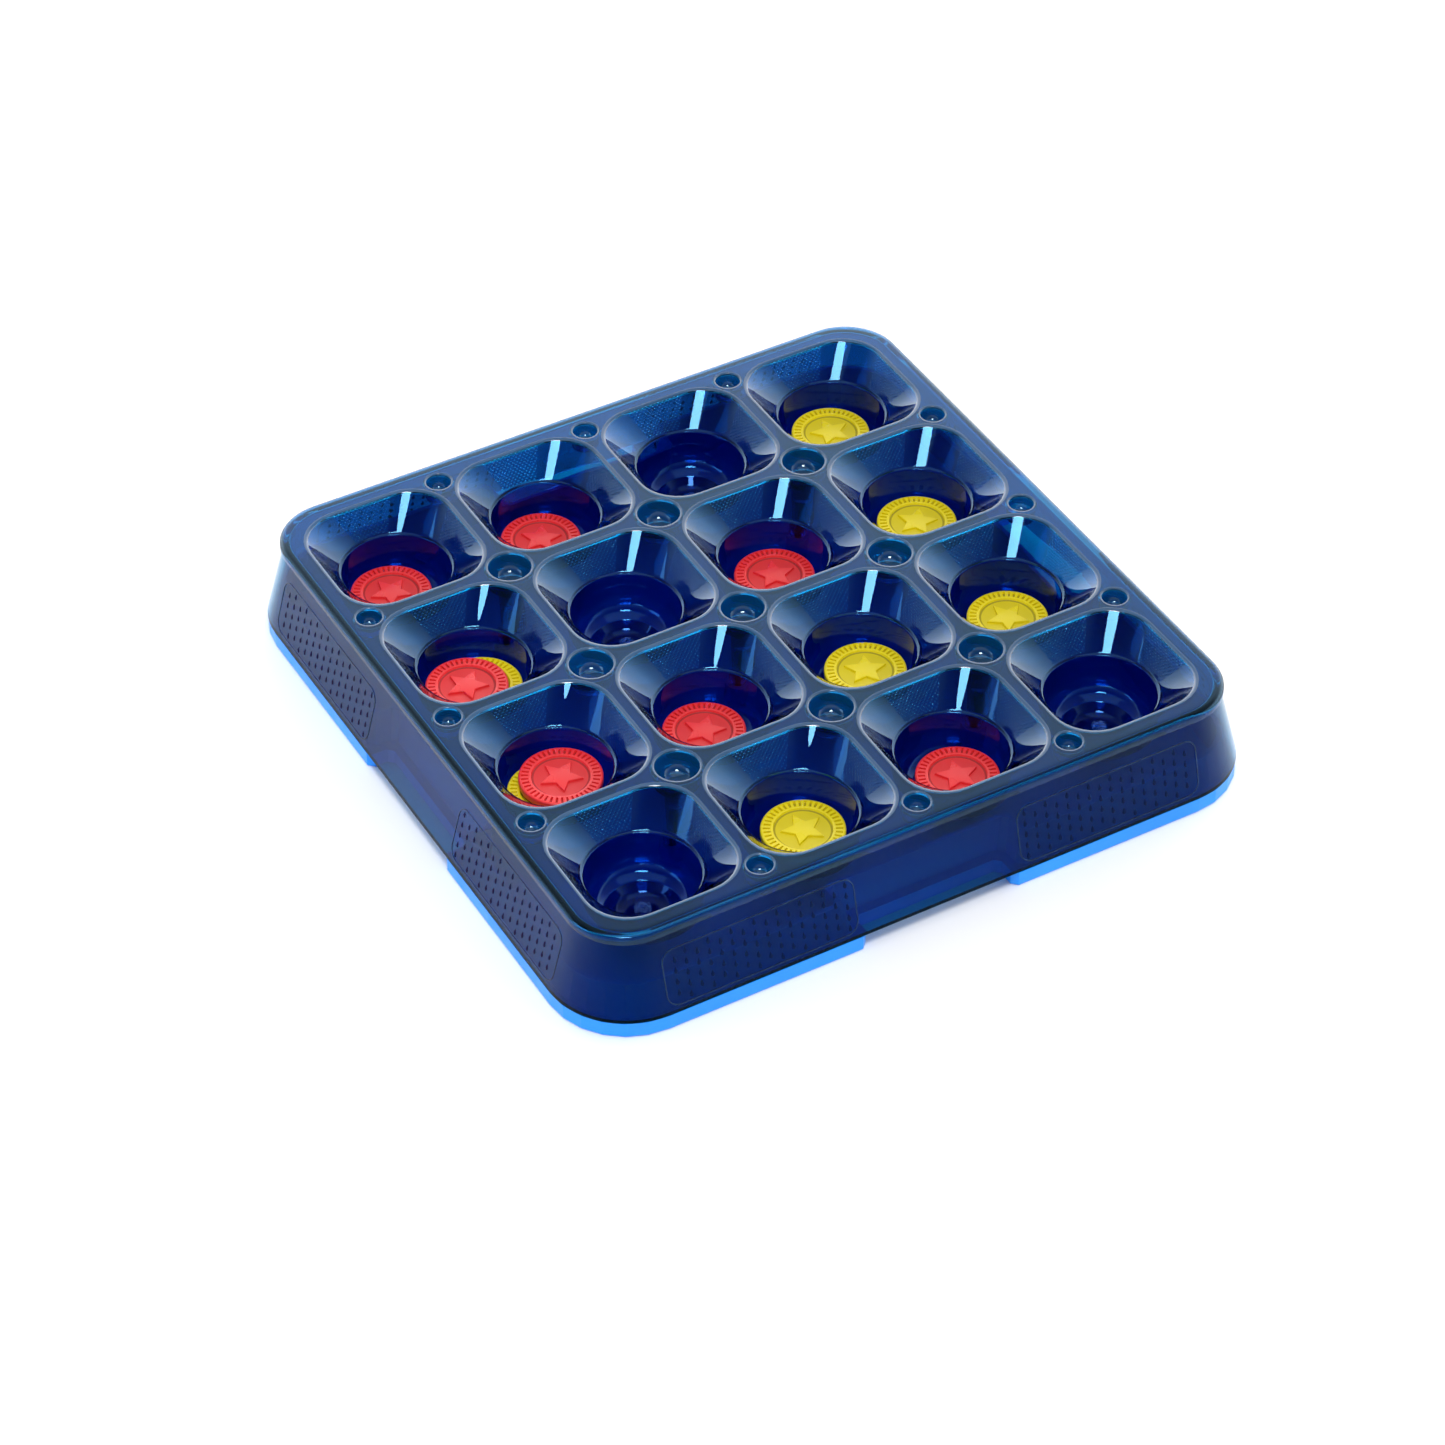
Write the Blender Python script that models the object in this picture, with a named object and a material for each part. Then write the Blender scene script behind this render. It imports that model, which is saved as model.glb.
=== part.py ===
"""Disc-toss four-in-a-row frame: a well tray screwed to a footed base, holding fourteen loose discs.

Sizes below are in millimetres; MM turns them into metres. +Z is up and the table is z = 0.
Rows count from the back (+Y) to the front, columns from the left (-X) to the right.
"""

import math

import bmesh
import bpy
from mathutils import Vector
from mathutils.geometry import delaunay_2d_cdt

MM = 0.001
PITCH = 58.0
CELLS = 4

# Heights of the tray above the table.
TOP = 37.7
UNDER_TOP = 35.9
SHELL_FOOT = 6.4

# Outline of the tray from the top face down: half width, corner radius, height.
SKIRT_OUTSIDE = [
    (117.2, 16.5, TOP),
    (119.7, 18.5, 37.1),
    (121.6, 20.0, 35.2),
    (121.6, 20.0, 34.6),
    (120.9, 20.0, 34.2),
    (128.3, 28.0, SHELL_FOOT),
]
SKIRT_INSIDE = [
    (126.4, 26.2, SHELL_FOOT),
    (119.0, 18.6, 33.0),
    (118.4, 17.6, UNDER_TOP),
]

# Inside of one well, from its mouth to its floor. A corner radius of None is a plain circle.
WELL_INSIDE = [
    (26.3, 14.9, TOP),
    (25.7, 14.4, 37.1),
    (20.2, None, 27.9),
    (18.7, None, 25.8),
    (18.1, None, 18.6),
    (17.3, None, 15.6),
    (15.3, None, 13.4),
    (12.4, None, 12.5),
    (7.7, None, 8.8),
]
WELL_OUTSIDE = [
    (26.5, 14.6, UNDER_TOP),
    (21.2, None, 26.0),
    (19.6, None, 17.0),
    (13.9, None, 11.0),
    (9.2, None, 7.3),
]

# Round dimples: the large ones top the posts at the rib crossings, the small ones line the edge.
CROSSINGS = (-PITCH, 0.0, PITCH)
EDGE_DIMPLE_AT = 111.2
LARGE_DIMPLE = [(7.5, TOP), (7.1, 37.0), (6.2, 31.0), (5.0, 29.9)]
LARGE_DIMPLE_UNDER = [(8.7, UNDER_TOP), (7.7, 29.6), (6.4, 28.3)]
SMALL_DIMPLE = [(4.4, TOP), (4.0, 37.1), (3.3, 32.4)]
SMALL_DIMPLE_UNDER = [(5.5, UNDER_TOP), (4.8, 31.0)]
POST = [(4.2, 28.3), (3.7, 8.3), (1.5, 8.3), (1.5, 19.5)]
LARGE_SIDES = 12
SMALL_SIDES = 10

# Posts that take a screw.
SCREW_PLACES = {
    "screw_centre": (0.0, 0.0),
    "screw_back_left": (-PITCH, PITCH),
    "screw_back_right": (PITCH, PITCH),
    "screw_front_left": (-PITCH, -PITCH),
    "screw_front_right": (PITCH, -PITCH),
}

# Base outline: half width and corner radius at the table, and the finger gap halfway along each side.
BASE_HALF = 128.3
BASE_CORNER = 28.0
GAP_HALF = 27.5
GAP_DEPTH = 10.3
BASE_WALL = [(0.9, 0.0), (0.25, 0.3), (0.0, 0.9), (0.0, 6.1), (3.5, 6.1), (6.2, 18.0), (7.8, 18.0), (7.0, 2.8)]
BASE_UNDER = [(9.4, 0.0), (10.2, 1.2)]
BASE_BOSS = [(5.5, 2.8), (5.2, 8.0), (1.8, 8.0), (1.8, 4.4), (3.5, 4.4), (3.5, 1.2)]
BOSS_SIDES = 16

# Screw: radius and height above the table, from the point up to the head.
SCREW = [(0.5, 18.0), (1.3, 16.8), (1.3, 4.1), (3.0, 4.1), (3.1, 3.4), (2.6, 2.3), (1.2, 2.3), (1.0, 3.3)]
SCREW_SIDES = 12

# Disc.
DISC_RADIUS = 14.04
DISC_HEIGHT = 2.9
DISC_FIELD = 9.5
DISC_FIELD_AT = 2.4
DISC_SIDES = 24
STAR_OUTER = 7.0
STAR_INNER = 3.3
REST_GAP = 0.3

# Discs: name, colour, row, column, shift off the well's centre in x and y, turn in degrees, disc underneath.
DISCS = [
    ("disc_01", "red", 0, 0, -2.2, 0.9, 12.0, None),
    ("disc_02", "red", 0, 1, -1.7, 1.1, 40.0, None),
    ("disc_03", "yellow", 0, 3, 1.0, 2.1, 65.0, None),
    ("disc_04", "yellow", 1, 0, 2.3, 0.4, 5.0, None),
    ("disc_05", "red", 1, 0, -3.5, -0.9, 24.0, "disc_04"),
    ("disc_06", "red", 1, 2, 1.3, 1.4, 51.0, None),
    ("disc_07", "yellow", 1, 3, 1.3, 1.5, 33.0, None),
    ("disc_08", "yellow", 2, 0, -2.3, 0.7, 60.0, None),
    ("disc_09", "red", 2, 0, 2.3, 1.4, 17.0, "disc_08"),
    ("disc_10", "red", 2, 1, -2.0, 1.0, 30.0, None),
    ("disc_11", "yellow", 2, 2, 2.3, 0.3, 46.0, None),
    ("disc_12", "yellow", 2, 3, 1.3, 0.4, 8.0, None),
    ("disc_13", "yellow", 3, 1, 2.0, 1.1, 69.0, None),
    ("disc_14", "red", 3, 2, 1.2, -1.9, 55.0, None),
]


def clear_scene():
    for obj in list(bpy.data.objects):
        bpy.data.objects.remove(obj, do_unlink=True)


def material(name, colour, roughness, alpha=1.0):
    made = bpy.data.materials.new(name)
    made.use_nodes = True
    shader = made.node_tree.nodes["Principled BSDF"]
    shader.inputs["Base Color"].default_value = (*colour, 1.0)
    shader.inputs["Roughness"].default_value = roughness
    shader.inputs["Alpha"].default_value = alpha
    return made


class Surface:
    """Points and faces of one closed surface, built from loops of points."""

    def __init__(self):
        self.points = []
        self.faces = []

    def loop(self, outline, height, centre=(0.0, 0.0)):
        first = len(self.points)
        for x, y in outline:
            self.points.append(((x + centre[0]) * MM, (y + centre[1]) * MM, height * MM))
        return list(range(first, len(self.points)))

    def band(self, one, other):
        count = len(one)
        for i in range(count):
            j = (i + 1) % count
            self.faces.append((one[i], one[j], other[j], other[i]))

    def bands(self, loops):
        for one, other in zip(loops, loops[1:]):
            self.band(one, other)

    def cap(self, loop):
        self.faces.append(tuple(loop))

    def plate(self, outer, holes):
        """Fills the flat region between an outer loop and the loops of its holes."""
        loops = [outer] + holes
        flat = [self.points[i][:2] for loop in loops for i in loop]
        names = [i for loop in loops for i in loop]
        edges = []
        start = 0
        for loop in loops:
            count = len(loop)
            edges += [(start + i, start + (i + 1) % count) for i in range(count)]
            start += count
        outlines = [[self.points[i][:2] for i in loop] for loop in loops]
        found = delaunay_2d_cdt([Vector(p) for p in flat], edges, [], 0, 1e-9, True)
        corners = found[0]
        origin = [names[ids[0]] for ids in found[3]]
        for face in found[2]:
            middle = sum((corners[i] for i in face), Vector((0.0, 0.0))) / len(face)
            if not inside(middle, outlines[0]):
                continue
            if any(inside(middle, hole) for hole in outlines[1:]):
                continue
            self.faces.append(tuple(origin[i] for i in face))

    def finish(self, name, surface_material, sharp_degrees=32.0, location=(0.0, 0.0, 0.0), turn=0.0):
        mesh = bpy.data.meshes.new(name)
        mesh.from_pydata(self.points, [], self.faces)
        work = bmesh.new()
        work.from_mesh(mesh)
        bmesh.ops.recalc_face_normals(work, faces=work.faces)
        bmesh.ops.triangulate(work, faces=work.faces)
        work.to_mesh(mesh)
        work.free()
        mesh.shade_smooth()
        mesh.set_sharp_from_angle(angle=math.radians(sharp_degrees))
        mesh.materials.append(surface_material)
        obj = bpy.data.objects.new(name, mesh)
        obj.location = [value * MM for value in location]
        obj.rotation_euler = (0.0, 0.0, math.radians(turn))
        bpy.context.scene.collection.objects.link(obj)
        return obj


def inside(point, outline):
    x, y = point
    found = False
    count = len(outline)
    for i in range(count):
        x1, y1 = outline[i]
        x2, y2 = outline[(i + 1) % count]
        if (y1 > y) != (y2 > y) and x < (x2 - x1) * (y - y1) / (y2 - y1) + x1:
            found = not found
    return found


def circle(radius, sides, start=0.0):
    steps = [start + 2 * math.pi * i / sides for i in range(sides)]
    return [(radius * math.cos(a), radius * math.sin(a)) for a in steps]


def rounded_square(half, corner, arc_steps=3, middles=True):
    """Rounded square, corner by corner, with a point halfway along each side."""
    outline = []
    for quarter in range(4):
        base = quarter * math.pi / 2
        along = (math.cos(base), math.sin(base))
        across = (-along[1], along[0])
        if middles:
            outline.append((half * along[0], half * along[1]))
        for step in range(arc_steps + 1):
            angle = math.pi / 2 * step / arc_steps
            u = half - corner + corner * math.cos(angle)
            v = half - corner + corner * math.sin(angle)
            outline.append((u * along[0] + v * across[0], u * along[1] + v * across[1]))
    return outline


def well_outline(size, corner):
    if corner is None:
        return circle(size, 20)
    return rounded_square(size, corner)


def bowl_height(radius):
    """Height of the well's inside surface at a distance from its centre, for its round part."""
    wall = [(size, height) for size, corner, height in WELL_INSIDE if corner is None]
    wall.reverse()
    for (r1, z1), (r2, z2) in zip(wall, wall[1:]):
        if r1 <= radius <= r2:
            return z1 + (z2 - z1) * (radius - r1) / (r2 - r1)
    return wall[0][1]


def cell_centre(row, column):
    half = (CELLS - 1) / 2
    return ((column - half) * PITCH, (half - row) * PITCH)


def add_tray(surface_material):
    tray = Surface()
    outside = [tray.loop(rounded_square(h, c, 6), z) for h, c, z in SKIRT_OUTSIDE]
    skirt = [tray.loop(rounded_square(h, c, 6), z) for h, c, z in SKIRT_INSIDE]
    tray.bands(outside + skirt)
    top_holes = []
    under_holes = []
    for row in range(CELLS):
        for column in range(CELLS):
            centre = cell_centre(row, column)
            well = [tray.loop(well_outline(s, c), z, centre) for s, c, z in WELL_INSIDE]
            cup = [tray.loop(well_outline(s, c), z, centre) for s, c, z in WELL_OUTSIDE]
            tray.bands(well)
            tray.bands(cup)
            tray.cap(well[-1])
            tray.cap(cup[-1])
            top_holes.append(well[0])
            under_holes.append(cup[0])
    for x in CROSSINGS:
        for y in CROSSINGS:
            profile = list(LARGE_DIMPLE_UNDER)
            if (x, y) in SCREW_PLACES.values():
                profile += POST
            dimple = [tray.loop(circle(r, LARGE_SIDES), z, (x, y)) for r, z in LARGE_DIMPLE]
            under = [tray.loop(circle(r, LARGE_SIDES), z, (x, y)) for r, z in profile]
            tray.bands(dimple)
            tray.bands(under)
            tray.cap(dimple[-1])
            tray.cap(under[-1])
            top_holes.append(dimple[0])
            under_holes.append(under[0])
    for along in CROSSINGS:
        for side in (-EDGE_DIMPLE_AT, EDGE_DIMPLE_AT):
            for place in ((along, side), (side, along)):
                dimple = [tray.loop(circle(r, SMALL_SIDES), z, place) for r, z in SMALL_DIMPLE]
                under = [tray.loop(circle(r, SMALL_SIDES), z, place) for r, z in SMALL_DIMPLE_UNDER]
                tray.bands(dimple)
                tray.bands(under)
                tray.cap(dimple[-1])
                tray.cap(under[-1])
                top_holes.append(dimple[0])
                under_holes.append(under[0])
    tray.plate(outside[0], top_holes)
    tray.plate(skirt[-1], under_holes)
    return tray.finish("tray", surface_material)


def base_outline(inset):
    """Plan of the base, moved inwards by inset: a rounded square with a stepped-in gap on each side."""
    half = BASE_HALF - inset
    corner = BASE_CORNER - inset
    gap = GAP_HALF + inset
    deep = half - GAP_DEPTH
    soft = 2.0
    outline = []
    for quarter in range(4):
        base = quarter * math.pi / 2
        along = (math.cos(base), math.sin(base))
        across = (-along[1], along[0])
        side = [(deep, -gap + soft), (deep, gap - soft), (deep + soft, gap), (half - soft, gap), (half, gap + soft)]
        for step in range(7):
            angle = math.pi / 2 * step / 6
            side.append((half - corner + corner * math.cos(angle), half - corner + corner * math.sin(angle)))
        side += [(gap + soft, half), (gap, half - soft), (gap, deep + soft)]
        for u, v in side:
            outline.append((u * along[0] + v * across[0], u * along[1] + v * across[1]))
    return outline


def add_base(surface_material):
    base = Surface()
    wall = [base.loop(base_outline(inset), z) for inset, z in BASE_WALL]
    under = [base.loop(base_outline(inset), z) for inset, z in BASE_UNDER]
    base.bands(wall)
    base.bands(under)
    base.band(under[0], wall[0])
    top_holes = []
    under_holes = []
    for place in SCREW_PLACES.values():
        boss = [base.loop(circle(r, BOSS_SIDES), z, place) for r, z in BASE_BOSS]
        base.bands(boss)
        top_holes.append(boss[0])
        under_holes.append(boss[-1])
    base.plate(wall[-1], top_holes)
    base.plate(under[-1], under_holes)
    return base.finish("base", surface_material)


def add_screw(name, place, surface_material):
    screw = Surface()
    loops = [screw.loop(circle(r, SCREW_SIDES), z) for r, z in SCREW]
    screw.bands(loops)
    screw.cap(loops[0])
    screw.cap(loops[-1])
    return screw.finish(name, surface_material, location=(place[0], place[1], 0.0))


def star_outline():
    outline = []
    for i in range(10):
        radius = STAR_INNER if i % 2 else STAR_OUTER
        angle = math.pi / 2 + math.pi * i / 5
        outline.append((radius * math.cos(angle), radius * math.sin(angle)))
    return outline


def add_disc(name, centre, turn, surface_material):
    disc = Surface()
    low = -DISC_HEIGHT / 2
    side = [(13.5, 0.0), (DISC_RADIUS, 0.5), (DISC_RADIUS, 2.4), (13.5, DISC_HEIGHT)]
    field = [(DISC_FIELD + 0.3, DISC_HEIGHT), (DISC_FIELD, DISC_FIELD_AT)]
    loops = [disc.loop(circle(r, DISC_SIDES), z + low) for r, z in side + field]
    star = [disc.loop(star_outline(), z + low) for z in (DISC_FIELD_AT, DISC_HEIGHT)]
    disc.bands(loops)
    disc.band(star[0], star[1])
    disc.cap(loops[0])
    disc.plate(loops[-1], [star[0]])
    disc.plate(star[1], [])
    return disc.finish(name, surface_material, location=centre, turn=turn)


def add_discs(materials):
    tops = {}
    for name, colour, row, column, shift_x, shift_y, turn, under in DISCS:
        x, y = cell_centre(row, column)
        reach = (DISC_RADIUS + math.hypot(shift_x, shift_y)) / math.cos(math.pi / 20)
        low = bowl_height(reach) + REST_GAP
        if under is not None:
            low = max(low, tops[under] + REST_GAP)
        tops[name] = low + DISC_HEIGHT
        centre = (x + shift_x, y + shift_y, low + DISC_HEIGHT / 2)
        add_disc(name, centre, turn, materials[colour])


def main():
    clear_scene()
    blue = material("tray_blue", (0.004, 0.03, 0.30), 0.08, 0.75)
    azure = material("base_azure", (0.0, 0.30, 1.0), 0.3)
    steel = material("screw_steel", (0.55, 0.56, 0.58), 0.3)
    colours = {
        "red": material("disc_red", (0.90, 0.04, 0.05), 0.25),
        "yellow": material("disc_yellow", (0.95, 0.80, 0.03), 0.25),
    }
    add_tray(blue)
    add_base(azure)
    for name, place in SCREW_PLACES.items():
        add_screw(name, place, steel)
    add_discs(colours)


main()
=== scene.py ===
"""Looks for a disc-toss four-in-a-row frame: a clear blue well tray on an azure base, with fourteen discs.

Shapes are in millimetres and MM turns them into metres. +Z is up, the table is z = 0 and the front is -Y.
"""

import math

import bmesh
import bpy
import numpy as np
from mathutils import Matrix, Vector
from mathutils.geometry import delaunay_2d_cdt

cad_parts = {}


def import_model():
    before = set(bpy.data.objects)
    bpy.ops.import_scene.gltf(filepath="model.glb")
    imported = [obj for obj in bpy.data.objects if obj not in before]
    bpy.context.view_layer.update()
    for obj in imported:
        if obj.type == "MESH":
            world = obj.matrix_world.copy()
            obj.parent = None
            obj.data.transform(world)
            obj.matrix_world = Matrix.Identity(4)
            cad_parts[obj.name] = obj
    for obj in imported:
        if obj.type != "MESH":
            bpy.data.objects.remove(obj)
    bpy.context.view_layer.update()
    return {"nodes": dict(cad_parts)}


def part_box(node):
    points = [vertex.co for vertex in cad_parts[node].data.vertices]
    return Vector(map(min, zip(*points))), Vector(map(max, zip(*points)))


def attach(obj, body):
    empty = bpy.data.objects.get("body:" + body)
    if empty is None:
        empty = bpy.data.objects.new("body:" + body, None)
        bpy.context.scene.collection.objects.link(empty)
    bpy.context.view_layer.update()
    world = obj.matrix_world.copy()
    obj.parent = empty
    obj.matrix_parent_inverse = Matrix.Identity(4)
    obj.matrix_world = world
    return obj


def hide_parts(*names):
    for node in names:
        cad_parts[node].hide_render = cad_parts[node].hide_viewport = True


MM = 0.001
PITCH = 58.0
CELLS = 4
TOP = 37.7
UNDER_TOP = 35.9

# One well: half width, corner radius (None for a circle), height, and how far the ring's edge
# is rounded off.
WELL_INSIDE = [
    (27.3, 15.6, TOP, 0.0),
    (26.35, 14.95, TOP, 0.62),
    (19.75, None, 27.6, 0.4),
    (18.8, None, 27.2, 0.5),
    (18.1, None, 18.6, 1.4),
    (17.3, None, 15.6, 1.3),
    (15.3, None, 13.4, 1.1),
    (12.5, None, 12.5, 0.4),
    (9.4, None, 9.3, 1.4),
    (5.0, None, 8.8, 0.0),
]
WELL_OUTSIDE = [
    (26.8, 14.9, UNDER_TOP, 0.0),
    (26.5, 14.6, UNDER_TOP, 0.2),
    (21.2, None, 26.0, 0.8),
    (19.6, None, 17.0, 1.2),
    (13.9, None, 11.0, 1.2),
    (9.2, None, 7.3, 0.5),
    (6.0, None, 7.3, 0.0),
]
# Places along a straight side, as fractions of its half length; the arc supplies its far end.
STRAIGHT = (-1.0, -0.93, -0.45, 0.0, 0.45, 0.93)
ARC_STEPS = 8
SIDE_SPREAD = 18.0
# Only the funnel's own wall is this tall between two rings.
GRAIN_REACH = 8.8
# Below these heights a well is its deeper cup, and then the throat in the cup's floor.
CUP_BELOW = 27.3
THROAT_BELOW = 12.3
# Above this height a well or a dimple is its rounded lip.
LIP_ABOVE = 36.6
# Below this height the skirt is its sloping wall.
WALL_BELOW = 34.3

# Tray outline from the top face down.
SKIRT_OUTSIDE = [
    (117.4, 16.8, TOP, 0.0),
    (121.6, 20.0, TOP, 2.9),
    (121.6, 20.0, 34.5, 0.12),
    (120.9, 20.0, 34.2, 0.1),
    (128.3, 28.0, 6.4, 0.0),
]
SKIRT_INSIDE = [
    (126.4, 26.2, 6.4, 0.0),
    (119.0, 18.6, 33.0, 0.8),
    (118.4, 17.6, UNDER_TOP, 0.3),
    (117.7, 17.0, UNDER_TOP, 0.0),
]
SKIRT_STRAIGHT = (-1.0, -0.97, 0.0, 0.97)
SKIRT_ARC_STEPS = 14

# Round dimples, and the posts below the large ones that take a screw.
CROSSINGS = (-PITCH, 0.0, PITCH)
EDGE_DIMPLE_AT = 111.2
LARGE_DIMPLE = [(8.3, TOP, 0.0), (7.45, TOP, 0.6), (6.7, 33.4, 1.9), (4.6, 30.7, 1.6), (1.6, 30.1, 0.0)]
LARGE_DIMPLE_UNDER = [(8.95, UNDER_TOP, 0.0), (8.7, UNDER_TOP, 0.2), (7.7, 29.6, 0.4), (6.4, 28.3, 0.0)]
SMALL_DIMPLE = [(5.1, TOP, 0.0), (4.4, TOP, 0.5), (3.8, 34.6, 1.2), (2.3, 32.9, 0.9), (0.8, 32.5, 0.0)]
SMALL_DIMPLE_UNDER = [(5.8, UNDER_TOP, 0.0), (5.5, UNDER_TOP, 0.2), (4.8, 31.0, 0.0)]
POST = [(4.2, 28.3, 0.0), (3.7, 8.3, 0.0), (1.5, 8.3, 0.0), (1.5, 19.5, 0.0)]
SCREW_POSTS = [(0.0, 0.0), (-PITCH, PITCH), (PITCH, PITCH), (-PITCH, -PITCH), (PITCH, -PITCH)]
ROUND_SIDES = 32

# Moulded panels on the skirt: reach along the wall, heights, and the teardrops inside.
PANEL_ALONG = (30.5, 100.5)
PANEL_HEIGHTS = (8.6, 28.8)
PANEL_CORNER = 4.5
PANEL_LINE = 0.45
PANEL_LINE_PROUD = 0.2
PANEL_LINE_EDGE = 0.12
# How far a raised shape's foot is sunk into the wall that it stands on.
ROOT = 0.3
TEARDROP = [
    (0.0, 1.3),
    (0.36, 0.5),
    (0.6, -0.2),
    (0.48, -0.8),
    (0.0, -1.1),
    (-0.48, -0.8),
    (-0.6, -0.2),
    (-0.36, 0.5),
]
TEARDROP_ALONG = 8.3
TEARDROP_UP = 1.95
# Room left inside a panel's outline: at its two ends, its foot and its head.
TEARDROP_ROOM = (3.2, 3.0, 2.2, 1.6)

# Disc.
DISC_RADIUS = 14.04
DISC_HEIGHT = 2.9
NOTCHES = 42
NOTCH_DEPTH = 0.85
FIELD_AT = 2.05
# Above this height a face that is still below the rim is a notch's floor or the groove round the field.
SUNK_ABOVE = 1.9
STAR_OUTER = 7.6
STAR_INNER = 3.7
# Discs: name, colour, turn in degrees.
DISCS = [
    ("disc_01", "red", 12.0),
    ("disc_02", "red", 40.0),
    ("disc_03", "yellow", 65.0),
    ("disc_04", "yellow", 5.0),
    ("disc_05", "red", 24.0),
    ("disc_06", "red", 51.0),
    ("disc_07", "yellow", 33.0),
    ("disc_08", "yellow", 60.0),
    ("disc_09", "red", 17.0),
    ("disc_10", "red", 30.0),
    ("disc_11", "yellow", 46.0),
    ("disc_12", "yellow", 8.0),
    ("disc_13", "yellow", 69.0),
    ("disc_14", "red", 55.0),
]

# Material slots of the tray and of a disc.
GLOSS, GRAIN, TEAR, WALL, CUP, THROAT, LIP, BOWL = range(8)
RAISED, SUNK, NOTCH = range(3)

# Colours as linear red, green and blue.
AZURE = (0.0, 0.29, 1.0)
DISC_COLOURS = {
    "red": (0.93, 0.035, 0.04),
    "yellow": (0.93, 0.76, 0.008),
}
# Painted shade: the sunk field and the notch floors take the disc's colour darkened by these factors, for
# the shade that falls in these recesses.
SUNK_PAINTED_SHADE = 0.82
NOTCH_PAINTED_SHADE = 0.42
GRAIN_SPACING = 0.0016

# Stage, in metres.
FLOOR_REACH = 12.0
AIM = (0.0, 0.0, 0.02)
# The surround's brightness from the horizon, at 0, to straight up, at 1.
SKY = [(0.0, 1.0), (0.45, 0.95), (0.58, 0.66), (0.74, 0.14), (1.0, 0.08)]
# The surround's strength on the viewer's side and on the far side, towards +X and +Y.
SKY_STRENGTH = (0.9, 4.0)
FAR_SIDE = (0.7, 0.7, 0.0)
FAR_SIDE_SPAN = (-0.3, 0.5)

# Camera: place in metres, turn to the left, look down and roll in degrees, lens in millimetres.
CAMERA_AT = (-0.5561, -0.9610, 0.9764)
CAMERA_ACROSS = -29.70
CAMERA_UP = 41.75
CAMERA_ROLL = -0.17
CAMERA_LENS = 107.7


def rounded_ring(size, corner, height, straight=STRAIGHT, arc_steps=ARC_STEPS):
    """A loop of points round a rounded square, or round a circle with its points in matching places."""
    points = []
    for quarter in range(4):
        turn = quarter * math.pi / 2
        local = []
        for part in straight:
            if corner is None:
                angle = math.radians(SIDE_SPREAD * part)
                local.append((size * math.cos(angle), size * math.sin(angle)))
            else:
                local.append((size, part * (size - corner)))
        for step in range(arc_steps):
            part = step / arc_steps
            if corner is None:
                angle = math.radians(SIDE_SPREAD + part * (90 - 2 * SIDE_SPREAD))
                local.append((size * math.cos(angle), size * math.sin(angle)))
            else:
                angle = math.pi / 2 * part
                inner = size - corner
                local.append((inner + corner * math.cos(angle), inner + corner * math.sin(angle)))
        for x, y in local:
            points.append(
                (x * math.cos(turn) - y * math.sin(turn), x * math.sin(turn) + y * math.cos(turn), height)
            )
    return np.array(points)


def circle_ring(radius, height, sides=ROUND_SIDES):
    angles = np.arange(sides) * 2 * math.pi / sides
    return np.stack([radius * np.cos(angles), radius * np.sin(angles), np.full(sides, height)], 1)


def towards(ring, other, distance):
    """The ring moved towards another one, by a distance or to half way."""
    step = other - ring
    length = np.maximum(np.linalg.norm(step, axis=1, keepdims=True), 1e-9)
    return ring + step * np.minimum(distance / length, 0.5)


def soften(rings, cuts, steps=4):
    """Rounds the edge at each ring that has a cut, so that light runs round it."""
    out = [rings[0]]
    for before, ring, after, cut in zip(rings, rings[1:], rings[2:], cuts[1:]):
        if not cut:
            out.append(ring)
            continue
        start = towards(ring, before, cut)
        end = towards(ring, after, cut)
        for step in range(steps + 1):
            t = step / steps
            out.append((1 - t) ** 2 * start + 2 * t * (1 - t) * ring + t * t * end)
    out.append(rings[-1])
    return out


def well_rings(profile, steps=4):
    rings = [rounded_ring(size, corner, height) for size, corner, height, _ in profile]
    return soften(rings, [row[3] for row in profile], steps)


def skirt_rings(profile, steps=5):
    rings = [rounded_ring(h, c, z, SKIRT_STRAIGHT, SKIRT_ARC_STEPS) for h, c, z, _ in profile]
    return soften(rings, [row[3] for row in profile], steps)


def round_rings(profile, steps=4):
    rings = [circle_ring(radius, height) for radius, height, _ in profile]
    return soften(rings, [row[2] for row in profile], steps)


def inside(point, outline):
    x, y = point
    found = False
    count = len(outline)
    for i in range(count):
        x1, y1 = outline[i]
        x2, y2 = outline[(i + 1) % count]
        if (y1 > y) != (y2 > y) and x < (x2 - x1) * (y - y1) / (y2 - y1) + x1:
            found = not found
    return found


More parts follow.
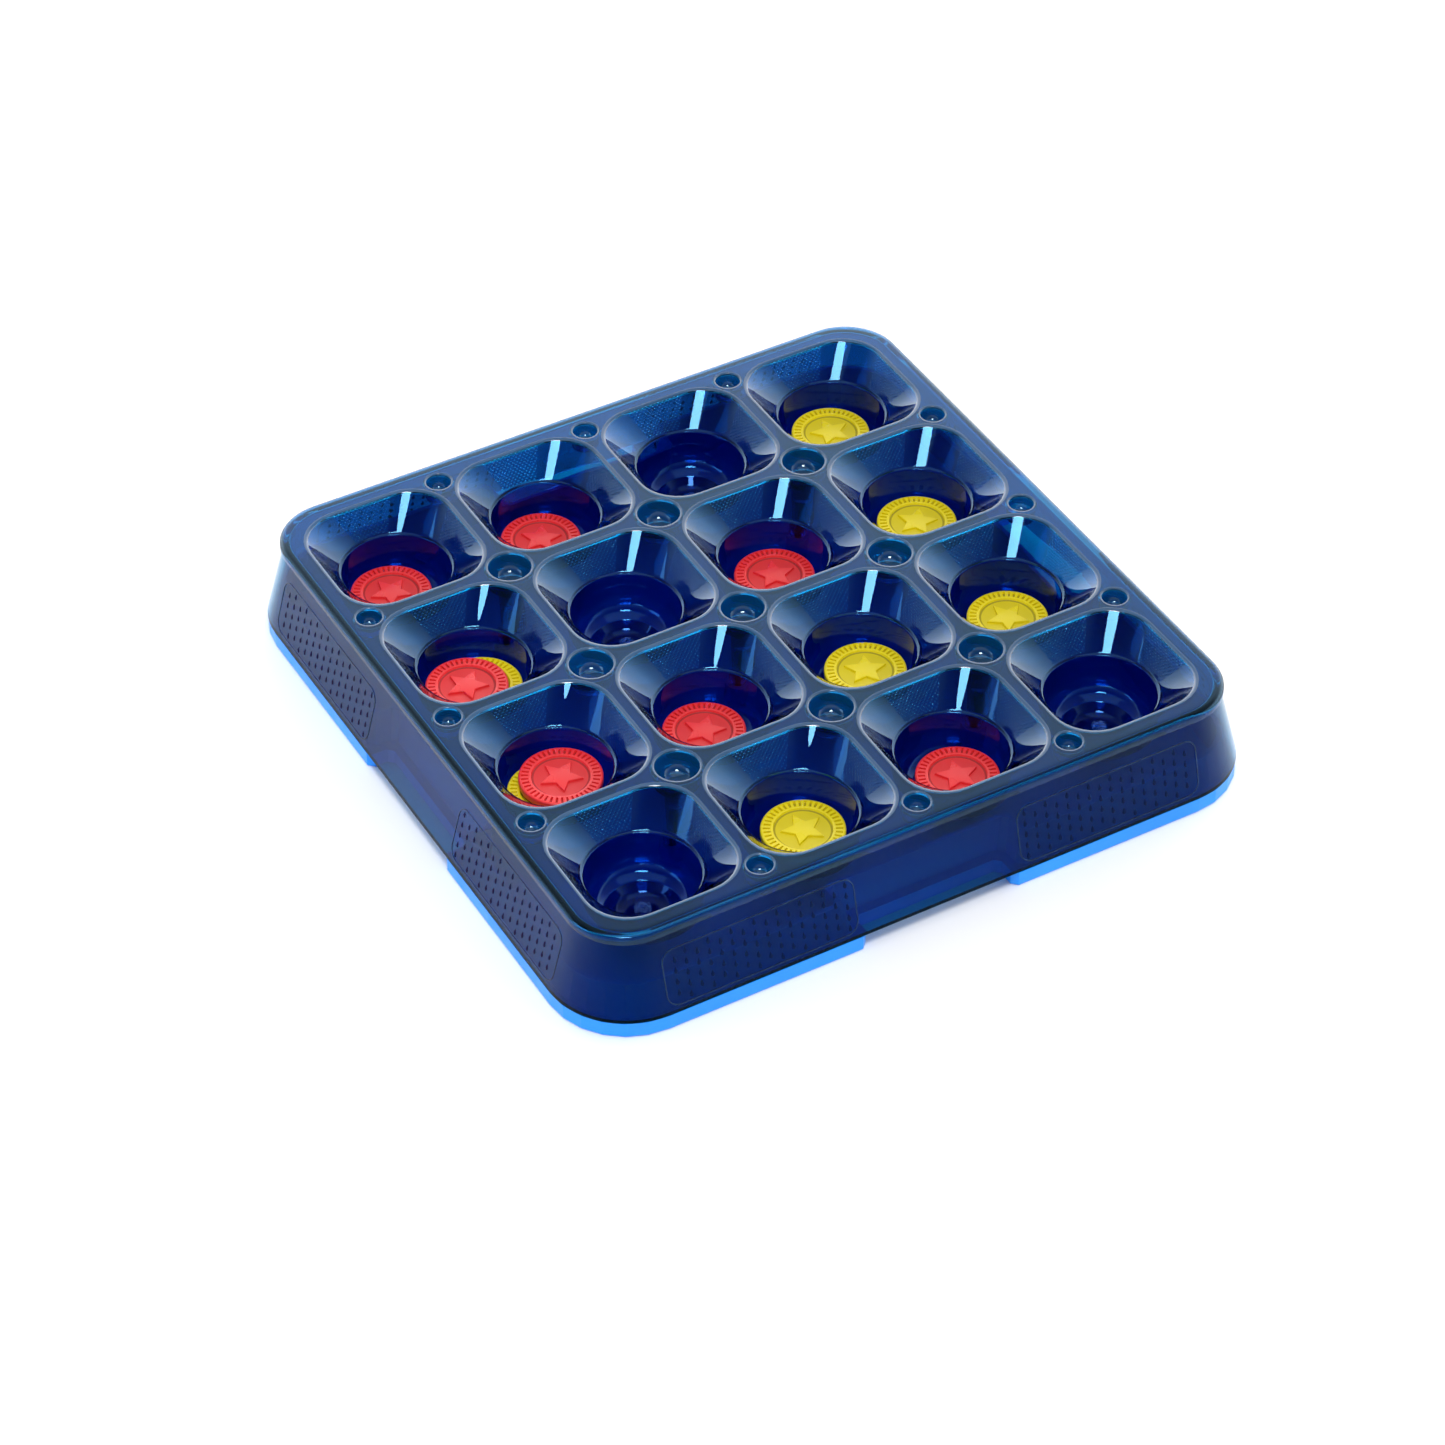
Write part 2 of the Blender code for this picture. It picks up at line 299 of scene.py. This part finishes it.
class Surface:
    """Points and faces of closed surfaces, built from loops of points. Each face has a material slot."""

    def __init__(self):
        self.points = []
        self.faces = []
        self.slots = []

    def loop(self, ring, centre=(0.0, 0.0, 0.0)):
        first = len(self.points)
        self.points += [tuple(point) for point in np.asarray(ring) + np.asarray(centre)]
        return list(range(first, len(self.points)))

    def face(self, corners, slot=0):
        self.faces.append(tuple(corners))
        self.slots.append(slot)

    def band(self, one, other, slot=0):
        count = len(one)
        for i in range(count):
            j = (i + 1) % count
            self.face((one[i], one[j], other[j], other[i]), slot)

    def stack(self, rings, centre=(0.0, 0.0, 0.0), slot=0):
        """Joins a stack of rings and returns its first and last loop."""
        loops = [self.loop(ring, centre) for ring in rings]
        for one, other in zip(loops, loops[1:]):
            self.band(one, other, slot)
        return loops[0], loops[-1]

    def plate(self, outer, holes, slot=0):
        """Fills the flat region between an outer loop and the loops of its holes."""
        loops = [outer] + holes
        names = [i for loop in loops for i in loop]
        flat = [Vector(self.points[i][:2]) for i in names]
        edges = []
        start = 0
        for loop in loops:
            count = len(loop)
            edges += [(start + i, start + (i + 1) % count) for i in range(count)]
            start += count
        outlines = [[self.points[i][:2] for i in loop] for loop in loops]
        found = delaunay_2d_cdt(flat, edges, [], 0, 1e-9, True)
        origin = [names[ids[0]] for ids in found[3]]
        for face in found[2]:
            middle = sum((found[0][i] for i in face), Vector((0.0, 0.0))) / len(face)
            if not inside(middle, outlines[0]):
                continue
            if any(inside(middle, hole) for hole in outlines[1:]):
                continue
            self.face([origin[i] for i in face], slot)

    def mesh(self, name, materials, sharp_degrees=38.0):
        mesh = bpy.data.meshes.new(name)
        mesh.from_pydata([[value * MM for value in point] for point in self.points], [], self.faces)
        mesh.polygons.foreach_set("material_index", self.slots)
        work = bmesh.new()
        work.from_mesh(mesh)
        bmesh.ops.recalc_face_normals(work, faces=work.faces)
        work.to_mesh(mesh)
        work.free()
        mesh.shade_smooth()
        mesh.set_sharp_from_angle(angle=math.radians(sharp_degrees))
        for surface_material in materials:
            mesh.materials.append(surface_material)
        return mesh


def cell_centre(row, column):
    half = (CELLS - 1) / 2
    return ((column - half) * PITCH, (half - row) * PITCH, 0.0)


# Materials


class Nodes:
    """A material's node tree, with short calls for the nodes used here."""

    def __init__(self, name):
        self.material = bpy.data.materials.new(name)
        self.material.use_nodes = True
        self.tree = self.material.node_tree
        self.shader = self.tree.nodes["Principled BSDF"]
        self.place = self.add("ShaderNodeTexCoord").outputs["Object"]

    def add(self, kind, **values):
        node = self.tree.nodes.new(kind)
        for name, value in values.items():
            setattr(node, name, value)
        return node

    def link(self, source, target):
        self.tree.links.new(source, target)

    def math(self, operation, one, other=None):
        node = self.add("ShaderNodeMath", operation=operation)
        for socket, value in zip(node.inputs, (one, other)):
            if isinstance(value, bpy.types.NodeSocket):
                self.link(value, socket)
            elif value is not None:
                socket.default_value = value
        return node.outputs[0]

    def noise(self, scale, detail=3.0, roughness=0.5):
        node = self.add("ShaderNodeTexNoise")
        node.inputs["Scale"].default_value = scale
        node.inputs["Detail"].default_value = detail
        node.inputs["Roughness"].default_value = roughness
        self.link(self.place, node.inputs["Vector"])
        return node.outputs["Fac"]

    def ranged(self, value, low, high, to_low, to_high):
        node = self.add("ShaderNodeMapRange")
        self.link(value, node.inputs["Value"])
        for name, number in zip(("From Min", "From Max", "To Min", "To Max"), (low, high, to_low, to_high)):
            node.inputs[name].default_value = number
        return node.outputs["Result"]

    def mixed(self, factor, one, other):
        node = self.add("ShaderNodeMix", data_type="RGBA")
        self.link(factor, node.inputs["Factor"])
        for socket, value in ((node.inputs[6], one), (node.inputs[7], other)):
            if isinstance(value, bpy.types.NodeSocket):
                self.link(value, socket)
            else:
                socket.default_value = (*value, 1.0)
        return node.outputs[2]

    def bump(self, height, distance, strength=1.0):
        node = self.add("ShaderNodeBump")
        node.inputs["Strength"].default_value = strength
        node.inputs["Distance"].default_value = distance
        self.link(height, node.inputs["Height"])
        self.link(node.outputs["Normal"], self.shader.inputs["Normal"])

    def set(self, **values):
        for name, value in values.items():
            self.shader.inputs[name.replace("_", " ")].default_value = value


def wall_dots(nodes, spacing):
    """A fine square grid of dots that runs along a wall and up it: 1 at a dot's middle, 0 between dots."""
    place = nodes.add("ShaderNodeSeparateXYZ")
    nodes.link(nodes.place, place.inputs[0])
    facing = nodes.add("ShaderNodeSeparateXYZ")
    nodes.link(nodes.add("ShaderNodeNewGeometry").outputs["Normal"], facing.inputs[0])
    facing_x = nodes.math("ABSOLUTE", facing.outputs["X"])
    facing_y = nodes.math("ABSOLUTE", facing.outputs["Y"])
    along_y = nodes.math("GREATER_THAN", facing_x, facing_y)
    along_x = nodes.math("SUBTRACT", 1.0, along_y)
    along = nodes.math(
        "ADD",
        nodes.math("MULTIPLY", place.outputs["Y"], along_y),
        nodes.math("MULTIPLY", place.outputs["X"], along_x),
    )
    waves = []
    for value in (along, nodes.math("MULTIPLY", place.outputs["Z"], 1.17)):
        waves.append(nodes.math("COSINE", nodes.math("MULTIPLY", value, 2 * math.pi / spacing)))
    return nodes.ranged(nodes.math("MULTIPLY", waves[0], waves[1]), 0.15, 0.75, 0.0, 1.0)


def clear_blue(name, colour, rough=(0.004, 0.02), dots=0.0, sheen=(1.0, 1.0, 1.0), clear=1.0):
    """Clear blue polystyrene, with faint flow marks.

    Dots are the spacing of the moulded grain, sheen tints the reflections, and clear is the share of
    light that may pass through.
    """
    nodes = Nodes(name)
    drift = nodes.noise(9.0, 2.0)
    deeper = tuple(value * 0.86 for value in colour)
    shade = nodes.mixed(nodes.ranged(drift, 0.35, 0.65, 0.0, 1.0), colour, deeper)
    if dots:
        grain = wall_dots(nodes, dots)
        shade = nodes.mixed(grain, shade, tuple(min(1.0, value * 2.6 + 0.03) for value in colour))
        nodes.bump(grain, 0.00012, 1.0)
    nodes.link(shade, nodes.shader.inputs["Base Color"])
    nodes.link(nodes.ranged(nodes.noise(38.0, 4.0), 0.3, 0.7, *rough), nodes.shader.inputs["Roughness"])
    nodes.set(Transmission_Weight=clear, IOR=1.57, Specular_Tint=(*sheen, 1.0))
    return nodes.material


def moulded(name, colour, rough=(0.2, 0.34), grain=0.00001, specular=0.5):
    """Opaque moulded plastic with a faint satin grain and slow drifts of shade."""
    nodes = Nodes(name)
    darker = tuple(value * 0.88 for value in colour)
    drift = nodes.ranged(nodes.noise(30.0, 3.0), 0.35, 0.65, 0.0, 1.0)
    nodes.link(nodes.mixed(drift, colour, darker), nodes.shader.inputs["Base Color"])
    nodes.link(nodes.ranged(nodes.noise(160.0, 4.0), 0.3, 0.7, *rough), nodes.shader.inputs["Roughness"])
    nodes.bump(nodes.noise(900.0, 2.0), grain, 0.6)
    nodes.set(Specular_IOR_Level=specular)
    return nodes.material


def steel(name):
    """Plain turned steel, with patches of wear."""
    nodes = Nodes(name)
    shade = nodes.mixed(nodes.noise(700.0, 3.0), (0.62, 0.63, 0.65), (0.44, 0.45, 0.48))
    nodes.link(shade, nodes.shader.inputs["Base Color"])
    rough = nodes.ranged(nodes.noise(1500.0, 3.0), 0.3, 0.7, 0.22, 0.42)
    nodes.link(rough, nodes.shader.inputs["Roughness"])
    nodes.set(Metallic=1.0)
    return nodes.material


def tray_materials():
    """The tray's looks, in the order of its slots."""
    return [
        clear_blue("tray_blue_gloss", (0.0, 0.15, 0.42), sheen=(0.22, 0.60, 1.0)),
        clear_blue("tray_blue_grain", (0.0, 0.20, 0.60), (0.05, 0.10), GRAIN_SPACING, (0.1, 0.5, 1.0)),
        moulded("tray_blue_tear", (0.0, 0.010, 0.055), (0.5, 0.7), specular=0.04),
        clear_blue("tray_blue_wall", (0.0, 0.20, 0.42), sheen=(0.0, 0.12, 0.30)),
        # Painted shade: the cup is the same blue with its green cut to a third, and the throat is darker
        # still, for the dark depth of each well.
        clear_blue("tray_blue_cup_painted_shade", (0.0, 0.05, 0.42), sheen=(0.1, 0.4, 1.0)),
        clear_blue("tray_blue_throat_painted_shade", (0.0, 0.012, 0.13), sheen=(0.1, 0.3, 0.8)),
        clear_blue("tray_blue_lip", (0.03, 0.09, 0.19), (0.08, 0.14), clear=0.25),
        clear_blue("tray_blue_bowl", (0.002, 0.13, 0.36), sheen=(0.7, 0.9, 1.0), clear=0.7),
    ]


# Tray


def well_slot(heights, on_flat_side):
    """The material slot of a face in a well, from the heights of its corners."""
    if min(heights) > LIP_ABOVE:
        return LIP
    # Throat and cup faces take the materials with painted shade.
    if max(heights) < THROAT_BELOW:
        return THROAT
    if max(heights) < CUP_BELOW:
        return CUP
    # The four flat walls of the funnel carry the grain.
    if on_flat_side and max(heights) - min(heights) > GRAIN_REACH:
        return GRAIN
    return GLOSS


def add_wells(tray, top_holes, under_holes):
    mouth = well_rings(WELL_INSIDE)
    cup = well_rings(WELL_OUTSIDE, 3)
    side = len(STRAIGHT) + ARC_STEPS
    for row in range(CELLS):
        for column in range(CELLS):
            centre = cell_centre(row, column)
            marker = len(tray.faces)
            first, last = tray.stack(mouth, centre)
            tray.face(last)
            top_holes.append(first)
            for index in range(marker, len(tray.faces)):
                heights = [tray.points[i][2] for i in tray.faces[index]]
                on_flat_side = (index - marker) % side < len(STRAIGHT)
                tray.slots[index] = well_slot(heights, on_flat_side)
            first, last = tray.stack(cup, centre)
            tray.face(last)
            under_holes.append(first)


def add_dimples(tray, top_holes, under_holes):
    large = round_rings(LARGE_DIMPLE)
    small = round_rings(SMALL_DIMPLE)
    small_under = round_rings(SMALL_DIMPLE_UNDER, 2)
    places = [((x, y), large, True) for x in CROSSINGS for y in CROSSINGS]
    for along in CROSSINGS:
        for edge in (-EDGE_DIMPLE_AT, EDGE_DIMPLE_AT):
            places += [((along, edge), small, False), ((edge, along), small, False)]
    for (x, y), dimple, is_large in places:
        under = small_under
        if is_large:
            under = round_rings(LARGE_DIMPLE_UNDER + (POST if (x, y) in SCREW_POSTS else []), 2)
        for rings, holes in ((dimple, top_holes), (under, under_holes)):
            marker = len(tray.faces)
            first, last = tray.stack(rings, (x, y, 0.0))
            tray.face(last)
            holes.append(first)
            if holes is top_holes:
                for index in range(marker, len(tray.faces)):
                    lowest = min(tray.points[i][2] for i in tray.faces[index])
                    tray.slots[index] = LIP if lowest > LIP_ABOVE else BOWL


def wall_point(side, along, height, proud):
    """A point on the sloping skirt wall of one side, stood off it by proud."""
    top, foot = SKIRT_OUTSIDE[3][::2], SKIRT_OUTSIDE[4][::2]
    part = (top[1] - height) / (top[1] - foot[1])
    lean = math.atan2(foot[0] - top[0], top[1] - foot[1])
    out = top[0] + (foot[0] - top[0]) * part + proud * math.cos(lean)
    turn = side * math.pi / 2
    x, y = out, along
    return (
        x * math.cos(turn) - y * math.sin(turn),
        x * math.sin(turn) + y * math.cos(turn),
        height + proud * math.sin(lean),
    )


def panel_outline(inset):
    """The rounded rectangle of a panel, as points (along, height)."""
    low, high = PANEL_ALONG[0] + inset, PANEL_ALONG[1] - inset
    foot, head = PANEL_HEIGHTS[0] + inset, PANEL_HEIGHTS[1] - inset
    corner = PANEL_CORNER - inset
    centres = [(high - corner, head - corner), (low + corner, head - corner)]
    centres += [(low + corner, foot + corner), (high - corner, foot + corner)]
    points = []
    for quarter, (u, v) in enumerate(centres):
        for step in range(7):
            angle = math.pi / 2 * (quarter + step / 6)
            points.append((u + corner * math.cos(angle), v + corner * math.sin(angle)))
    return points


def add_panel_lines(tray):
    """A fine raised line round each panel: the loops of its cross section, joined into a closed ring."""
    section = [
        (0.0, -ROOT),
        (0.0, PANEL_LINE_EDGE),
        (PANEL_LINE_EDGE, PANEL_LINE_PROUD),
        (PANEL_LINE - PANEL_LINE_EDGE, PANEL_LINE_PROUD),
        (PANEL_LINE, PANEL_LINE_EDGE),
        (PANEL_LINE, -ROOT),
    ]
    for side in range(4):
        for hand in (-1.0, 1.0):
            loops = []
            for inset, proud in section:
                ring = [wall_point(side, u * hand, v, proud) for u, v in panel_outline(inset)]
                loops.append(tray.loop(ring))
            for one, other in zip(loops, loops[1:] + loops[:1]):
                tray.band(one, other)


def teardrop_ring(side, along, height, scale, proud):
    return [wall_point(side, along + u * scale, height + v * scale, proud) for u, v in TEARDROP]


def add_teardrops(tray):
    """Rows of low teardrops in each panel, with every other row shifted by half a step."""
    low, high = PANEL_ALONG[0] + TEARDROP_ROOM[0], PANEL_ALONG[1] - TEARDROP_ROOM[1]
    foot, head = PANEL_HEIGHTS[0] + TEARDROP_ROOM[2], PANEL_HEIGHTS[1] - TEARDROP_ROOM[3]
    rows = int((head - foot) / TEARDROP_UP) + 1
    layers = ((1.0, -ROOT), (1.0, 0.04), (0.72, 0.12))
    for side in range(4):
        for hand in (-1.0, 1.0):
            for row in range(rows):
                height = foot + row * TEARDROP_UP
                along = low + (row % 2) * TEARDROP_ALONG / 2
                while along < high:
                    rings = [teardrop_ring(side, hand * along, height, *layer) for layer in layers]
                    first, last = tray.stack(rings, slot=TEAR)
                    tray.face(first, TEAR)
                    tray.face(last, TEAR)
                    along += TEARDROP_ALONG


def add_tray(materials):
    tray = Surface()
    top_holes = []
    under_holes = []
    top_edge, foot_out = tray.stack(skirt_rings(SKIRT_OUTSIDE))
    foot_in, under_edge = tray.stack(skirt_rings(SKIRT_INSIDE, 3))
    tray.band(foot_out, foot_in)
    for index, face in enumerate(tray.faces):
        if max(tray.points[i][2] for i in face) < WALL_BELOW:
            tray.slots[index] = WALL
    add_wells(tray, top_holes, under_holes)
    add_dimples(tray, top_holes, under_holes)
    tray.plate(top_edge, top_holes)
    tray.plate(under_edge, under_holes)
    add_panel_lines(tray)
    add_teardrops(tray)
    obj = bpy.data.objects.new("tray_shell", tray.mesh("tray_shell", materials))
    bpy.context.scene.collection.objects.link(obj)
    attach(obj, "frame")
    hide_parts("tray")
    return obj


# Discs


def disc_mesh(name, materials):
    """A disc lying on z = 0: a rim ring with radial notches, a sunk field and a raised star."""
    disc = Surface()
    angles = []
    sunk_painted_shade = []
    step = 2 * math.pi / NOTCHES
    for notch_painted_shade in range(NOTCHES):
        for part, low in ((0.28, False), (0.34, True), (0.66, True), (0.72, False)):
            angles.append((notch_painted_shade + part) * step)
            sunk_painted_shade.append(low)
    angles = np.array(angles)
    sunk_painted_shade = np.array(sunk_painted_shade)

    def ring(radius, height, notched=False):
        heights = np.where(sunk_painted_shade & notched, height - NOTCH_DEPTH, height)
        return np.stack([radius * np.cos(angles), radius * np.sin(angles), heights], 1)

    rings = [
        ring(12.9, 0.0),
        ring(13.6, 0.08),
        ring(13.95, 0.4),
        ring(DISC_RADIUS, 0.7),
        ring(DISC_RADIUS, 2.3),
        ring(13.93, 2.62),
        ring(13.68, 2.82),
        ring(13.35, DISC_HEIGHT),
        ring(13.1, DISC_HEIGHT),
        ring(13.0, DISC_HEIGHT, True),
        ring(10.75, DISC_HEIGHT, True),
        ring(10.65, DISC_HEIGHT),
        ring(10.1, DISC_HEIGHT),
        ring(9.85, 2.82),
        ring(9.62, 2.2),
        ring(9.4, FIELD_AT),
        ring(9.0, FIELD_AT),
    ]
    low, field = disc.stack(rings)
    disc.face(low)
    for index, face in enumerate(disc.faces):
        heights = [disc.points[i][2] for i in face]
        below_rim = max(heights) < DISC_HEIGHT - 0.5 * NOTCH_DEPTH
        if below_rim and min(heights) > SUNK_ABOVE and len(face) == 4:
            # These notch floors and the groove take the material with the strongest painted shade.
            disc.slots[index] = NOTCH
    outline = []
    for i in range(10):
        radius = STAR_INNER if i % 2 else STAR_OUTER
        angle = math.pi / 2 + math.pi * i / 5
        outline.append((radius * math.cos(angle), radius * math.sin(angle), 0.0))
    outline = np.array(outline)
    star = []
    for scale, height in ((1.0, FIELD_AT), (0.98, 2.7), (0.94, 2.86), (0.88, DISC_HEIGHT)):
        star.append(outline * scale + np.array([0.0, 0.0, height]))
    first, last = disc.stack(star)
    disc.plate(field, [first], SUNK)
    disc.plate(last, [])
    return disc.mesh(name, materials, 30.0)


def add_discs():
    meshes = {}
    for colour, value in DISC_COLOURS.items():
        raised = moulded(f"disc_{colour}", value, (0.24, 0.36))
        # Painted shade: the sunk field and the notch floors get darker copies of the disc's colour, for the
        # shade in these recesses.
        sunk_painted_shade = moulded(f"disc_{colour}_sunk", tuple(part * SUNK_PAINTED_SHADE for part in value), (0.4, 0.55))
        notch_painted_shade = moulded(f"disc_{colour}_notch", tuple(part * NOTCH_PAINTED_SHADE for part in value), (0.5, 0.65))
        meshes[colour] = disc_mesh(f"disc_{colour}", [raised, sunk_painted_shade, notch_painted_shade])
    for name, colour, turn in DISCS:
        low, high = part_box(name)
        obj = bpy.data.objects.new(f"{name}_{colour}", meshes[colour])
        obj.location = ((low.x + high.x) / 2, (low.y + high.y) / 2, low.z)
        obj.rotation_euler = (0.0, 0.0, math.radians(turn))
        bpy.context.scene.collection.objects.link(obj)
        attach(obj, name)
        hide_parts(name)


# Stage


def add_floor():
    mesh = bpy.data.meshes.new("floor")
    corners = [(x * FLOOR_REACH, y * FLOOR_REACH, 0.0) for x, y in ((-1, -1), (1, -1), (1, 1), (-1, 1))]
    mesh.from_pydata(corners, [], [(0, 1, 2, 3)])
    nodes = Nodes("floor_pale")
    shade = nodes.mixed(nodes.noise(2.0, 2.0), (0.92, 0.92, 0.92), (0.90, 0.90, 0.90))
    nodes.link(shade, nodes.shader.inputs["Base Color"])
    nodes.set(Roughness=0.9, Specular_IOR_Level=0.1)
    mesh.materials.append(nodes.material)
    floor = bpy.data.objects.new("floor", mesh)
    bpy.context.scene.collection.objects.link(floor)


def add_area(name, place, size, strength, colour=(1.0, 1.0, 1.0), round_lamp=False):
    """A panel lamp whose face has the given brightness, aimed at the object."""
    light = bpy.data.lights.new(name, "AREA")
    light.shape = "DISK" if round_lamp else "RECTANGLE"
    light.size = size[0]
    light.size_y = size[1]
    area = size[0] * size[1] * (math.pi / 4 if round_lamp else 1.0)
    light.energy = strength * area * math.pi
    light.color = colour
    obj = bpy.data.objects.new(name, light)
    obj.location = place
    obj.rotation_euler = (Vector(AIM) - Vector(place)).to_track_quat("-Z", "Y").to_euler()
    bpy.context.scene.collection.objects.link(obj)


def add_lights():
    add_area("overhead", (0.0, -0.1, 1.5), (1.2, 1.2), 0.9)
    add_area("window", (-0.92, 0.17, 0.50), (0.46, 0.34), 4.6, (0.36, 0.64, 1.0))
    add_area("lamp", (-0.42, -0.72, 1.6), (0.5, 0.5), 24.0, round_lamp=True)


def add_world():
    """A pale surround, brightest near the horizon and on the side that faces the viewer."""
    world = bpy.data.worlds.new("studio")
    world.use_nodes = True
    tree = world.node_tree
    place = tree.nodes.new("ShaderNodeTexCoord")
    split = tree.nodes.new("ShaderNodeSeparateXYZ")
    ramp = tree.nodes.new("ShaderNodeValToRGB")
    tree.links.new(place.outputs["Generated"], split.inputs[0])
    tree.links.new(split.outputs["Z"], ramp.inputs["Fac"])
    elements = ramp.color_ramp.elements
    elements[0].position, elements[1].position = SKY[0][0], SKY[-1][0]
    for position, _ in SKY[1:-1]:
        elements.new(position)
    for element, (_, level) in zip(elements, SKY):
        element.color = (level, level, level, 1.0)
    far_side = tree.nodes.new("ShaderNodeVectorMath")
    far_side.operation = "DOT_PRODUCT"
    far_side.inputs[1].default_value = FAR_SIDE
    tree.links.new(place.outputs["Generated"], far_side.inputs[0])
    strength = tree.nodes.new("ShaderNodeMapRange")
    tree.links.new(far_side.outputs["Value"], strength.inputs["Value"])
    for name, value in zip(("From Min", "From Max", "To Min", "To Max"), FAR_SIDE_SPAN + SKY_STRENGTH):
        strength.inputs[name].default_value = value
    shade = tree.nodes["Background"]
    tree.links.new(ramp.outputs["Color"], shade.inputs["Color"])
    tree.links.new(strength.outputs["Result"], shade.inputs["Strength"])
    bpy.context.scene.world = world


def add_camera():
    """Looks down at the front-left corner, with a narrow lens and a trace of roll."""
    across = math.radians(CAMERA_ACROSS)
    up = math.radians(CAMERA_UP)
    roll = math.radians(CAMERA_ROLL)
    back = Vector((math.sin(across) * math.cos(up), -math.cos(across) * math.cos(up), math.sin(up)))
    right = Vector((0.0, 0.0, 1.0)).cross(back).normalized()
    above = back.cross(right)
    rolled_right = right * math.cos(roll) + above * math.sin(roll)
    rolled_above = above * math.cos(roll) - right * math.sin(roll)
    turn = Matrix((rolled_right, rolled_above, back)).transposed().to_4x4()
    data = bpy.data.cameras.new("camera")
    data.sensor_width = 36.0
    data.lens = CAMERA_LENS
    data.clip_start = 0.01
    camera = bpy.data.objects.new("camera", data)
    camera.matrix_world = Matrix.Translation(CAMERA_AT) @ turn
    bpy.context.scene.collection.objects.link(camera)
    bpy.context.scene.camera = camera


def main():
    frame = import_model()
    add_tray(tray_materials())
    azure = moulded("base_azure_satin", AZURE, (0.28, 0.42))
    screw = steel("screw_steel_turned")
    for name, obj in frame["nodes"].items():
        if name == "base":
            obj.data.materials.clear()
            obj.data.materials.append(azure)
        elif name.startswith("screw"):
            obj.data.materials.clear()
            obj.data.materials.append(screw)
    add_discs()
    add_floor()
    add_lights()
    add_world()
    add_camera()
    bpy.context.scene.view_settings.view_transform = "Standard"


main()
